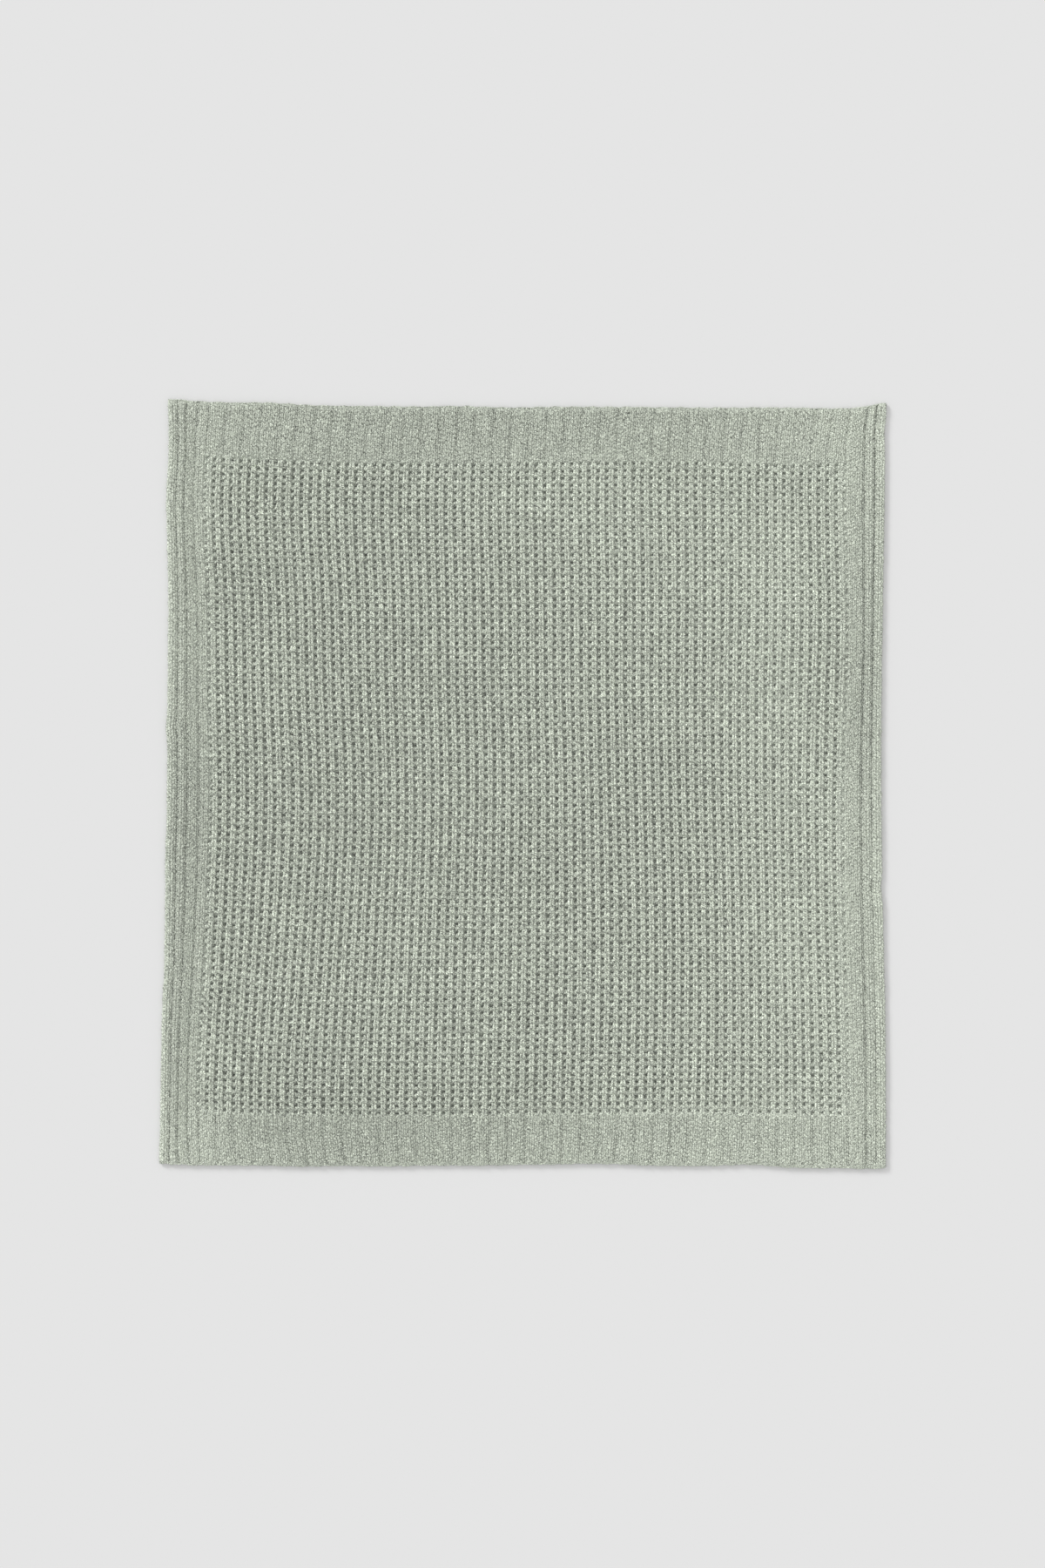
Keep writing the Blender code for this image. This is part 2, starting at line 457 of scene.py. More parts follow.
def strands(start, end, width, thick, arch, profile, lift, calm, random):
    """Many short strands of yarn, as cloth points, faces and looks.

    A strand's middle runs from start to end, raised on the way by arch times the
    profile's rise at t. Around it is an ellipse of width by thick, times the profile's
    fatness at t, with four corners: on top, at both sides and below. The two ends close
    to a point. lift is how far the underside, the top and each strand's ends stand out,
    which sets their painted shade, and calm is how far each strand is drawn to one even
    lift, and so one even painted shade, instead.
    """
    t, fat, rise = np.array(profile).T
    span = end - start
    middle = start[:, None] + t[None, :, None] * span[:, None]
    middle[..., 2] += arch[:, None] * rise[None]
    aside = np.stack((span[:, 1], -span[:, 0]), axis=-1)
    aside /= np.linalg.norm(aside, axis=1, keepdims=True)

    turn = np.arange(4) / 4
    over, beside = np.cos(2 * np.pi * turn), np.sin(2 * np.pi * turn)
    out = width[:, None, None] * fat[None, :, None] * beside / 2
    up = thick[:, None, None] * fat[None, :, None] * over / 2
    rings = np.repeat(middle[:, :, None], 4, axis=2)
    rings[..., 0] += out * aside[:, None, None, 0]
    rings[..., 1] += out * aside[:, None, None, 1]
    rings[..., 2] += up
    tips = middle[:, (0, -1)]
    rings = rings[:, 1:-1]
    count, ring_count = rings.shape[:2]
    cloth = np.concatenate((rings.reshape(count, -1, 3), tips), axis=1)

    # Painted shade: the underside and the ends of each strand are painted darker than its top.
    low, high, end_share = lift
    body = low + (high - low) * (0.5 + 0.5 * over)
    ends = end_share + (1.0 - end_share) * rise[1:-1, None]
    lifts = np.concatenate(((body * ends).ravel(), (low, low)))
    lifts = lifts[None] + calm[:, None] * (CALM_PAINTED_LIGHT - lifts[None])
    length = np.linalg.norm(span, axis=1)
    along = np.repeat(t[1:-1], 4)
    place = np.zeros((count, ring_count * 4 + 2, 3))
    place[:, :-2, 0] = length[:, None] * along
    place[:, -1, 0] = length
    place[:, :-2, 1] = np.tile(np.where(turn > 0.5, turn - 1.0, turn), ring_count)
    place[..., 2] = random.uniform(0.0, 1.0, (count, 1))
    tone = np.repeat(YARN_UNEVENNESS * random.normal(0.0, 1.0, count), place.shape[1])
    looks = {"lift": lifts.ravel(), "tone": tone, "twist": place}

    around = np.arange(4)
    after = (around + 1) % 4
    ring = 4 * np.arange(ring_count - 1)[:, None]
    tube = np.stack((ring + around, ring + after, ring + 4 + after, ring + 4 + around), -1)
    last_ring = 4 * (ring_count - 1)
    start_cap = np.stack((after, around, np.full(4, last_ring + 4)), -1)
    end_cap = np.stack((last_ring + around, last_ring + after, np.full(4, last_ring + 5)), -1)
    shift = place.shape[1] * np.arange(count)[:, None, None]
    quads = (tube.reshape(1, -1, 4) + shift).reshape(-1, 4)
    triangles = (np.concatenate((start_cap, end_cap))[None] + shift).reshape(-1, 3)
    return cloth.reshape(-1, 3), [quads, triangles], looks


# ---------------------------------------------------------------- the sizes


class KnitSizes(PropertyGroup):
    """The knitting's heights and yarn sizes."""

    plain_height: FloatProperty(
        name="Plain height",
        description="Top of the plain knitting above the surface",
        default=0.0048,
        subtype="DISTANCE",
    )
    rim_height: FloatProperty(
        name="Rim height",
        description="Middle of the cloth's rim above the surface",
        default=0.0020,
        subtype="DISTANCE",
    )
    rim_width: FloatProperty(
        name="Rim width",
        description="How far in from the edge the cloth is rounded",
        default=0.0032,
        subtype="DISTANCE",
    )
    rib_ground: FloatProperty(
        name="Ground height",
        description="Height of the ground under the ribs and bars",
        default=0.0034,
        subtype="DISTANCE",
    )
    rib_ridge: FloatProperty(
        name="Rib ridge",
        description="How far the ground rises along the middle of a rib",
        default=0.0008,
        subtype="DISTANCE",
    )
    pit_floor: FloatProperty(
        name="Pit floor",
        description="Height of the ground at the bottom of a pit",
        default=0.0009,
        subtype="DISTANCE",
    )
    leg_height: FloatProperty(
        name="Leg height",
        description="Height of both ends of a rib stitch's leg",
        default=0.0029,
        subtype="DISTANCE",
    )
    leg_arch: FloatProperty(
        name="Leg arch",
        description="How far a leg rises above its ends",
        default=0.0018,
        subtype="DISTANCE",
    )
    leg_width: FloatProperty(
        name="Leg width",
        description="Widest part of a rib stitch's leg",
        default=0.0039,
        subtype="DISTANCE",
    )
    leg_thickness: FloatProperty(
        name="Leg thickness",
        description="Thickness of a rib stitch's leg",
        default=0.0023,
        subtype="DISTANCE",
    )
    bar_height: FloatProperty(
        name="Bar height",
        description="Middle of a bar's yarn above the surface",
        default=0.0034,
        subtype="DISTANCE",
    )
    bar_width: FloatProperty(
        name="Bar width",
        description="Width of a bar, seen from above",
        default=0.0071,
        subtype="DISTANCE",
    )
    bar_thickness: FloatProperty(
        name="Bar thickness",
        description="Thickness of a bar",
        default=0.0022,
        subtype="DISTANCE",
    )
    edge_pitch: FloatProperty(
        name="Edge pitch",
        description="Length of one stitch of the edge chain",
        default=0.0050,
        subtype="DISTANCE",
    )
    edge_inset: FloatProperty(
        name="Edge inset",
        description="From the cloth's edge to the middle of its chain",
        default=0.0008,
        subtype="DISTANCE",
    )
    edge_height: FloatProperty(
        name="Edge height",
        description="Middle of the edge chain above the surface",
        default=0.0025,
        subtype="DISTANCE",
    )
    edge_width: FloatProperty(
        name="Edge width",
        description="Width of the edge chain, seen from above",
        default=0.0020,
        subtype="DISTANCE",
    )
    edge_thickness: FloatProperty(
        name="Edge thickness",
        description="Thickness of the edge chain",
        default=0.0024,
        subtype="DISTANCE",
    )


class YarnColours(PropertyGroup):
    """The yarn's colours, with its painted shade, and finish."""

    yarn: FloatVectorProperty(
        name="Yarn",
        description="Colour of the yarn where it stands out",
        default=(0.682, 0.730, 0.625),
        subtype="COLOR",
        size=3,
        min=0.0,
        max=1.0,
    )
    # Painted shade: the colour painted where the yarn lies low between its neighbours.
    painted_shade: FloatVectorProperty(
        name="Shade",
        description="Colour of the yarn low between its neighbours",
        default=(0.225, 0.249, 0.212),
        subtype="COLOR",
        size=3,
        min=0.0,
        max=1.0,
    )
    fuzz: FloatProperty(
        name="Fuzz",
        description="Height of the fibres' bump",
        default=0.0008,
        subtype="DISTANCE",
    )
    ply_pitch: FloatProperty(
        name="Ply pitch",
        description="Length of yarn from one twist of its plies to the next",
        default=0.0024,
        subtype="DISTANCE",
    )


class StageLight(PropertyGroup):
    """The floor and the lights."""

    floor: FloatVectorProperty(
        name="Floor",
        description="Colour of the floor",
        default=(0.75, 0.75, 0.75),
        subtype="COLOR",
        size=3,
        min=0.0,
        max=1.0,
    )
    sun: FloatProperty(
        name="Key light",
        description="Strength of the soft key light",
        default=1.9,
    )
    height: FloatProperty(
        name="Key height",
        description="Degrees of the key light above the floor",
        default=23.0,
    )
    spread: FloatProperty(
        name="Key spread",
        description="Degrees that the key light is wide, for soft shadows",
        default=17.0,
    )
    sky: FloatProperty(
        name="Fill light",
        description="Strength of the even light from all round",
        default=0.808,
    )


# ---------------------------------------------------------------- the cotton's material


class Dye:
    """One socket of a node tree. Sums and products of dyes add their Math nodes."""

    def __init__(self, tree, socket):
        self.tree = tree
        self.socket = socket

    def node(self, kind, settings=None, inputs=None, output=0):
        """Add any node: its settings first, then the values or links of its sockets."""
        return add_node(self.tree, kind, settings, inputs, output)

    def maths(self, operation, first, second=None):
        inputs = {0: first} if second is None else {0: first, 1: second}
        return self.node("ShaderNodeMath", {"operation": operation}, inputs)

    def __add__(self, other):
        return self.maths("ADD", self, other)

    __radd__ = __add__

    def __sub__(self, other):
        return self.maths("SUBTRACT", self, other)

    def __rsub__(self, other):
        return self.maths("SUBTRACT", other, self)

    def __mul__(self, other):
        return self.maths("MULTIPLY", self, other)

    __rmul__ = __mul__

    def wave(self):
        """The sine of this many whole turns."""
        return self.maths("SINE", self * (2 * np.pi))

    def blend(self, low, high):
        """The colour that runs from low, at 0, to high, at 1."""
        settings = {"data_type": "RGBA", "clamp_factor": True}
        return self.node("ShaderNodeMix", settings, {0: self, 6: low, 7: high}, 2)

    def scaled(self, colour):
        """A colour or vector times this value."""
        settings = {"operation": "SCALE"}
        return self.node("ShaderNodeVectorMath", settings, {0: colour, 3: self})


def add_node(tree, kind, settings=None, inputs=None, output=0):
    """One node of a tree, with its settings made first, as the dye at one output."""
    made = tree.nodes.new(kind)
    for label, value in (settings or {}).items():
        setattr(made, label, value)
    for label, value in (inputs or {}).items():
        if isinstance(value, Dye):
            tree.links.new(value.socket, made.inputs[label])
        elif value is not None:
            made.inputs[label].default_value = value
    return Dye(tree, made.outputs[output])


def noise(place, size, detail=2.0, roughness=0.5):
    """Even cloudiness from 0 to 1, whose clouds are about size across."""
    inputs = {"Vector": place, "Scale": 1.0 / size, "Detail": detail, "Roughness": roughness}
    return place.node("ShaderNodeTexNoise", {"noise_dimensions": "3D"}, inputs)


def attribute(tree, label, output):
    """A value or vector that a piece's points carry."""
    return add_node(tree, "ShaderNodeAttribute", {"attribute_name": label}, output=output)


PLY_SHOWS = 0.26  # how far the plies change the yarn's lightness
FIBRE_SHOWS = 2.4  # and how far its fibres do
PLAIN_GRAIN = 4.0  # and the fuzz, on the plain knitting
WAFFLE_GRAIN = 7.4  # and the fuzz, on the waffle
FUZZ_SIZE = 0.0008
HAIRS_PER_METRE = 260.0
HAIRS_PER_TURN = 2.2
HAIR_SHUFFLE = 40.0  # sets one strand's fibres apart from the next one's


def cotton(colours, name, grain):
    """Matt, fuzzy cotton yarn: painted shade between the strands, and flecked by its fibres.

    The ply is a wave that climbs round the strand: the sine of the turns made by the
    place along it and round it. Two sizes of noise are its fibres and its fuzz, and
    grain is how strong the fuzz is. The colour runs from the painted shade to the
    yarn's by the lift, times one plus the tone and each of the three, less its middle.
    """
    found = bpy.data.materials.get(name)
    if found:
        return found
    material = bpy.data.materials.new(name)
    material.use_nodes = True
    tree = material.node_tree
    shader = tree.nodes["Principled BSDF"]
    shader.inputs["Metallic"].default_value = 0.0
    shader.inputs["Specular IOR Level"].default_value = 0.2
    shader.inputs["Sheen Weight"].default_value = 0.15
    shader.inputs["Sheen Roughness"].default_value = 0.6

    place = add_node(tree, "ShaderNodeTexCoord", output=3)
    lift = attribute(tree, "lift", 2)
    tone = attribute(tree, "tone", 2)
    twist = attribute(tree, "twist", 1)
    split = twist.node("ShaderNodeSeparateXYZ", None, {0: twist})
    along, around, which = (Dye(tree, split.socket.node.outputs[i]) for i in range(3))

    turns = along * (1.0 / colours.ply_pitch) + 2.0 * around + which
    ply = 0.5 + 0.5 * turns.wave()
    hair = {0: along * HAIRS_PER_METRE, 1: turns * HAIRS_PER_TURN, 2: which * HAIR_SHUFFLE}
    fibre = noise(twist.node("ShaderNodeCombineXYZ", None, hair), 1.0, 2.0, 0.7)
    fuzz = noise(place, FUZZ_SIZE, 1.0, 0.6)

    # Painted shade: low and tucked parts get the painted shade colour, and parts that stand out
    # get the yarn's.
    body = lift.blend((*colours.painted_shade, 1.0), (*colours.yarn, 1.0))
    bright = 1.0 + tone + PLY_SHOWS * (ply - 0.5) + FIBRE_SHOWS * (fibre - 0.5)
    bright = bright + grain * (fuzz - 0.5)
    colour = bright.scaled(body)
    rough = 0.84 + 0.14 * fibre
    height = 0.6 * ply + 0.5 * fibre + 0.3 * fuzz
    bump = place.node(
        "ShaderNodeBump", None, {"Strength": 0.8, "Distance": colours.fuzz, "Height": height}
    )
    tree.links.new(colour.socket, shader.inputs["Base Color"])
    tree.links.new(rough.socket, shader.inputs["Roughness"])
    tree.links.new(bump.socket, shader.inputs["Normal"])
    return material


def plain_cotton(colours):
    """The yarn of the ground, the bands, the sides and the edges."""
    return cotton(colours, "plain_cotton_yarn", PLAIN_GRAIN)


def waffle_cotton(colours):
    """The yarn of the ribs and bars, which is fuzzier."""
    return cotton(colours, "waffle_cotton_yarn", WAFFLE_GRAIN)


# ---------------------------------------------------------------- the ground cloth

RIM_STEPS = (0.0, 0.0006, 0.0016, 0.0032)
BAND_LINES = 10
RIDGE_LINES = 5
# Painted light of the ground, and how much more of it there is round shut pits.
GROUND_PAINTED_LIGHT = 0.50
PIT_SLANT = 0.0006  # how far the bottom of a pit lies toward its lower right corner
PIT_UNDER = 0.0003  # how far the lower side lifts under a pit
SHUT_DEPTH = 0.3  # the share of its depth that a shut pit keeps
SHUT_FILL = 0.0006  # how much higher the ground is round shut pits
SHUT_PAINTED_LIGHT = 0.1  # and how much lighter it is there
PLAIN_UNDER = 0.0007  # how far the ground lies under the plain knitting's top
LINE_GAP = 0.0003  # grid lines closer than this to the last one are left out


def grid_lines(end, near_ridges, far_ridges, inner):
    """Places of grid lines from 0 to end: at the rims, over the ridges, and inside."""
    rim = np.array(RIM_STEPS)
    near = [np.linspace(a, b, RIDGE_LINES) for a, b, _ in near_ridges]
    far = [end - np.linspace(a, b, RIDGE_LINES) for a, b, _ in far_ridges]
    lines = np.unique(np.concatenate((rim, end - rim, inner, *near, *far)))
    keep = np.concatenate(([True], np.diff(lines) > LINE_GAP))
    keep[-1] = True
    return lines[keep]


def ground_shape(across, along, sizes):
    """The ground's upper and lower heights, its lift, which sets its painted shade, and the
    depth of its pits.

    In the field the upper side dips into each pit by the product of two raised cosines,
    one across the columns and one along the rows. Elsewhere it lies under the plain
    stitches. The lower side lifts a little under each pit, and both meet at the rim.
    """
    column = (across - FIRST_PIT) / COLUMN_PITCH
    row = (along - BOTTOM_BAND) / ROW_PITCH
    pit = (0.5 + 0.5 * np.cos(2 * np.pi * column)) * (0.5 - 0.5 * np.cos(2 * np.pi * row))
    field = in_field(across, along)
    pit = pit * field * (SHUT_DEPTH + (1.0 - SHUT_DEPTH) * openness(across, along))
    closed = how_closed(across, along)
    ridge = sizes.rib_ridge * (0.5 - 0.5 * np.cos(2 * np.pi * column))
    filled = sizes.rib_ground + ridge + SHUT_FILL * closed
    waffle = filled - (sizes.rib_ground - sizes.pit_floor) * pit
    plain = sizes.plain_height - channels(across, along) - PLAIN_UNDER
    upper = rounded(field * waffle + (1 - field) * plain, across, along, sizes)
    lower = rounded(PIT_UNDER * pit, across, along, sizes)
    # Painted shade in the pits: the deeper a pit, the darker its ground is painted, and round
    # shut pits it is painted lighter.
    lift = (GROUND_PAINTED_LIGHT + SHUT_PAINTED_LIGHT * closed) * (1.0 - np.clip(pit, 0.0, 1.0))
    return upper, lower, lift, pit


def make_ground(sizes, material):
    """The thin cloth that all the yarn lies on: two grids that share their rim."""
    columns = FIRST_PIT + 0.5 * COLUMN_PITCH * np.arange(2 * PIT_COLUMNS - 1)
    rows = BOTTOM_BAND + 0.5 * ROW_PITCH * np.arange(2 * PIT_ROWS + 1)
    steps = np.arange(1, BAND_LINES) / BAND_LINES
    inner_rows = np.concatenate((rows, BOTTOM_BAND * steps, CUT_LENGTH - TOP_BAND * steps))
    across_lines = grid_lines(CUT_WIDTH, LEFT_RIDGES, RIGHT_RIDGES, columns)
    along_lines = grid_lines(CUT_LENGTH, (), (), inner_rows)
    across, along = np.meshgrid(across_lines, along_lines)
    upper, lower, lift, pit = ground_shape(across, along, sizes)

    height, width = across.shape
    upper_index = np.arange(height * width).reshape(height, width)
    inside = np.zeros((height, width), bool)
    inside[1:-1, 1:-1] = True
    lower_index = upper_index.copy()
    lower_index[inside] = height * width + np.arange(inside.sum())

    def quads(index):
        corners = (index[:-1, :-1], index[:-1, 1:], index[1:, 1:], index[1:, :-1])
        return np.stack(corners, axis=-1).reshape(-1, 4)

    across = across + PIT_SLANT * pit
    along = along - PIT_SLANT * pit
    top = np.stack((across, along, upper), axis=-1).reshape(-1, 3)
    under = np.stack((across, along, lower), axis=-1)[inside]
    cloth = np.concatenate((top, under))
    faces = [np.concatenate((quads(upper_index), quads(lower_index)[:, ::-1]))]
    lift = np.concatenate((lift.ravel(), np.full(len(under), GROUND_PAINTED_LIGHT)))
    twist = np.column_stack((cloth[:, 1], cloth[:, 0] / PLAIN_ROW_PITCH, np.zeros(len(cloth))))
    looks = {"lift": lift, "tone": np.zeros(len(cloth)), "twist": twist}
    return add_piece("blanket_ground", cloth, faces, material, looks)


# ---------------------------------------------------------------- the yarn

LEG_PROFILE = (
    # along_the_leg, fatness, rise
    (0.00, 0.00, 0.00),
    (0.16, 0.84, 0.50),
    (0.48, 0.92, 0.90),
    (0.80, 1.00, 1.00),
    (0.94, 0.70, 0.52),
    (1.00, 0.00, 0.00),
)
BAR_PROFILE = (
    # along_the_bar, fatness, rise
    (0.00, 0.00, 0.00),
    (0.24, 0.96, 1.00),
    (0.76, 0.96, 1.00),
    (1.00, 0.00, 0.00),
)
STITCH_PROFILE = (
    # along_the_stitch, fatness, rise
    (0.00, 0.00, 0.00),
    (0.30, 0.86, 0.80),
    (0.78, 1.00, 1.00),
    (1.00, 0.00, 0.10),
)
# Painted light: the shares between painted shade and the yarn's colour, for the strands'
# undersides, tops and ends, and where pits are closed.
RIB_PAINTED_LIGHT = (0.58, 0.755, 0.50)  # the underside, the top, and the ends' share of them
BAR_PAINTED_LIGHT = (0.48, 0.58, 0.90)
PLAIN_PAINTED_LIGHT = (0.56, 0.73, 0.94)
CALM_PAINTED_LIGHT = 0.60  # what the yarn's lift comes to where the pits are closed

RIB_PIECES = 3
APEX_OUT = 0.0011  # from a rib's middle to the start of its legs
LEFT_FOOT_OUT = 0.0017  # and to the left leg's foot
RIGHT_FOOT_OUT = 0.0022  # and to the right leg's foot
FOOT_BELOW = 0.0014  # how far past its bar a leg's foot reaches
BAR_END = 0.0009  # from a rib's middle to the end of a bar
BAR_TILT = 0.0006  # how far a bar's left end is above its middle
BAR_SAG = 0.0003  # how far a bar's middle hangs below its ends

# What shut pits change: legs sink and lie flatter, bars rise and spread, and the painted shade
# on legs and bars evens out.
SHUT_LEG_DROP = 0.0005
SHUT_LEG_FLAT = 0.5
SHUT_BAR_RISE = 0.0003
SHUT_BAR_SPREAD = 0.0010
SHUT_BAR_CALM = 0.8

# How far the strands stray, as lengths, and their sizes, as shares.
WAFFLE_SWAY = 0.00022
LEG_SPREAD = 0.06
BAR_SPREAD = 0.07
PLAIN_SWAY = 0.00035
PLAIN_SPREAD = 0.13
EDGE_SWAY = 0.00025
EDGE_SPREAD = 0.10

PLAIN_LEG_ENDS = (
    # out_by_the_wale's_width, ahead_by_the_row's_pitch, below_the_top
    (0.08, 0.85, 0.0011),
    (0.36, -0.65, 0.0009),
)
PLAIN_LEG_WIDTH = 0.62  # as a share of the wale's width
PLAIN_LEG_THICKNESS = 0.0015
PLAIN_LEG_ARCH = 0.0005
PLAIN_END_INSET = 0.0004  # the plain stitches end this far inside the top and bottom edges
EDGE_OVERLAP = 1.3  # the length of an edge stitch, in edge pitches
EDGE_END_INSET = 0.0006
EDGE_ARCH = 0.0004


def uneven(random, spread, *shape):
    """Small random strayings, at most three times their spread."""
    return np.clip(random.normal(0.0, spread, shape), -3 * spread, 3 * spread)


def make_ribs(sizes, material):
    """The ribs between the columns of pits, as chains of slanting legs.

    Each stitch has two legs that start close together, tucked under the feet of the
    stitch above, and spread down to the bar, where their own feet are fattest.
    """
    random = np.random.default_rng(11)
    rib = FIRST_PIT + COLUMN_PITCH * (np.arange(PIT_COLUMNS - 1) + 0.5)
    row = BOTTOM_BAND + ROW_PITCH * np.arange(PIT_ROWS)
    pieces = []
    for part, ribs in enumerate(np.array_split(rib, RIB_PIECES)):
        across, along, side = np.meshgrid(ribs, row, (-1.0, 1.0), indexing="ij")
        across, along, side = (grid.ravel() for grid in (across, along, side))
        count = len(across)
        sway = uneven(random, WAFFLE_SWAY, 4, count)
        size = 1.0 + uneven(random, LEG_SPREAD, 3, count)
        foot_out = np.where(side < 0, -LEFT_FOOT_OUT, RIGHT_FOOT_OUT)
        closed = how_closed(across, along)
        low = sizes.leg_height - SHUT_LEG_DROP * closed
        start = np.column_stack(
            (across + side * APEX_OUT + sway[0], along + ROW_PITCH + sway[1], low)
        )
        end = np.column_stack((across + foot_out + sway[2], along - FOOT_BELOW + sway[3], low))
        made = strands(
            start,
            end,
            sizes.leg_width * size[0],
            sizes.leg_thickness * size[1],
            sizes.leg_arch * (1.0 - SHUT_LEG_FLAT * closed) * size[2],
            LEG_PROFILE,
            RIB_PAINTED_LIGHT,
            closed,
            random,
        )
        pieces.append(add_piece(f"waffle_ribs_{part + 1}", *made[:2], material, made[2]))
    return pieces


def make_bars(sizes, material):
    """The bars that cross each column of pits, from one rib's feet to the next one's."""
    random = np.random.default_rng(12)
    column = FIRST_PIT + COLUMN_PITCH * np.arange(PIT_COLUMNS)
    row = BOTTOM_BAND + ROW_PITCH * np.arange(PIT_ROWS + 1)
    across, along = (grid.ravel() for grid in np.meshgrid(column, row, indexing="ij"))
    count = len(across)
    closed = how_closed(across, along)
    sway = uneven(random, WAFFLE_SWAY, 3, count)
    size = 1.0 + uneven(random, BAR_SPREAD, 2, count)
    half = 0.5 * COLUMN_PITCH - BAR_END
    low = sizes.bar_height + SHUT_BAR_RISE * closed
    start = np.column_stack((across - half, along + BAR_TILT + sway[0], low))
    end = np.column_stack((across + half, along - BAR_TILT + sway[1], low))
    made = strands(
        start,
        end,
        (sizes.bar_width + SHUT_BAR_SPREAD * closed) * size[0],
        sizes.bar_thickness * size[1],
        sway[2] - BAR_SAG,
        BAR_PROFILE,
        BAR_PAINTED_LIGHT,
        SHUT_BAR_CALM * closed,
        random,
    )
    return add_piece("waffle_bars", *made[:2], material, made[2])


def plain_stitches(name, wales, widths, rows, sizes, material, seed):
    """Plain knitting: in each wale and row, two small legs that lean together."""
    random = np.random.default_rng(seed)
    order = np.arange(len(wales))
    wale, along, side = np.meshgrid(order, rows, (-1.0, 1.0), indexing="ij")
    wale, along, side = (grid.ravel() for grid in (wale, along, side))
    across, width = wales[wale], widths[wale]
    count = len(across)
    offset = random.uniform(-0.5, 0.5, (len(wales), 2)) * PLAIN_ROW_PITCH
    along = along + offset[wale, (side > 0).astype(int)]
    sway = uneven(random, PLAIN_SWAY, 4, count)
    size = 1.0 + uneven(random, PLAIN_SPREAD, 3, count)
    ends = []
    for (out, ahead, below), shift in zip(PLAIN_LEG_ENDS, (sway[:2], sway[2:])):
        end_across = across + side * out * width + shift[0]
        end_along = along + ahead * PLAIN_ROW_PITCH + shift[1]
        end_along = np.clip(end_along, PLAIN_END_INSET, CUT_LENGTH - PLAIN_END_INSET)
        top = sizes.plain_height - channels(end_across, end_along)
        top = rounded(top, end_across, end_along, sizes)
        ends.append(np.column_stack((end_across, end_along, top - below)))
    made = strands(
        ends[0],
        ends[1],
        PLAIN_LEG_WIDTH * width * size[0],
        PLAIN_LEG_THICKNESS * size[1],
        PLAIN_LEG_ARCH * size[2],
        STITCH_PROFILE,
        PLAIN_PAINTED_LIGHT,
        np.zeros(count),
        random,
    )
    cloth, faces, looks = made
    # Painted shade in the channels, darker the deeper they are.
    looks["tone"] = looks["tone"] - CHANNEL_SHADE * channels(cloth[:, 0], cloth[:, 1])
    return add_piece(name, cloth, faces, material, looks)


def make_bands(sizes, material):
    """The plain bands along the top and bottom edges, one piece each."""
    wale_width = PIT_COLUMNS * COLUMN_PITCH / BAND_WALES
    wales = FIRST_PIT - 0.5 * COLUMN_PITCH + wale_width * (np.arange(BAND_WALES) + 0.5)
    widths = np.full(BAND_WALES, wale_width)
    for seed, name, low, high in (
        (21, "bottom_band", 0.0, BOTTOM_BAND),
        (22, "top_band", FIELD_TOP, CUT_LENGTH),
    ):
        count = int(round((high - low) / PLAIN_ROW_PITCH))
        rows = low + (high - low) * (np.arange(count) + 0.5) / count
        plain_stitches(name, wales, widths, rows, sizes, material, seed)


def ridge_wales(ridges):
    """The middle and width of each wale of plain stitches on a side's ridges."""
    middles, widths = [], []
    for starts, ends, wales in ridges:
        width = (ends - starts) / wales
        middles.extend(starts + width * (np.arange(wales) + 0.5))
        widths.extend([width] * wales)
    return np.array(middles), np.array(widths)


def make_side_ribs(sizes, material):
    """The ribbed sides, one piece each, with a channel between two ridges."""
    count = int(round(CUT_LENGTH / PLAIN_ROW_PITCH))
    rows = CUT_LENGTH * (np.arange(count) + 0.5) / count
    left, left_widths = ridge_wales(LEFT_RIDGES)
    right, right_widths = ridge_wales(RIGHT_RIDGES)
    plain_stitches("left_side_ribs", left, left_widths, rows, sizes, material, 31)
    plain_stitches("right_side_ribs", CUT_WIDTH - right, right_widths, rows, sizes, material, 32)


def make_edges(sizes, material):
    """The outermost yarn, as one chain of short strands round all four edges."""
    random = np.random.default_rng(41)
    starts, ends = [], []
    for length, far, turned in ((CUT_WIDTH, CUT_LENGTH, False), (CUT_LENGTH, CUT_WIDTH, True)):
        count = int(round(length / sizes.edge_pitch))
        for place in (sizes.edge_inset, far - sizes.edge_inset):
            at = length * np.arange(count) / count
            reach = np.minimum(at + EDGE_OVERLAP * sizes.edge_pitch, length - EDGE_END_INSET)
            sway = uneven(random, EDGE_SWAY, 2, count)
            near_end = [np.maximum(at, EDGE_END_INSET), place + sway[0]]
            far_end = [reach, place + sway[1]]
            if turned:
                near_end.reverse()
                far_end.reverse()
            starts.append(np.column_stack((*near_end, np.full(count, sizes.edge_height))))
            ends.append(np.column_stack((*far_end, np.full(count, sizes.edge_height))))
    start, end = np.concatenate(starts), np.concatenate(ends)
    size = 1.0 + uneven(random, EDGE_SPREAD, 3, len(start))
    made = strands(
        start,
        end,
        sizes.edge_width * size[0],
        sizes.edge_thickness * size[1],
        EDGE_ARCH * size[2],
        STITCH_PROFILE,
        PLAIN_PAINTED_LIGHT,
        np.zeros(len(start)),
        random,
    )
    return add_piece("edge_chain", *made[:2], material, made[2])


# ---------------------------------------------------------------- the stage


FLOOR_HALF_SIDE = 8.0
FLOOR_GAP = 0.0002  # from the floor up to the cloth
KEY_TURN = 135.0  # degrees from +X round to the key light
VIEW_LENGTH = 1.8  # what the camera's longer side takes in, at the floor
LENS = 85.0
SENSOR = 36.0


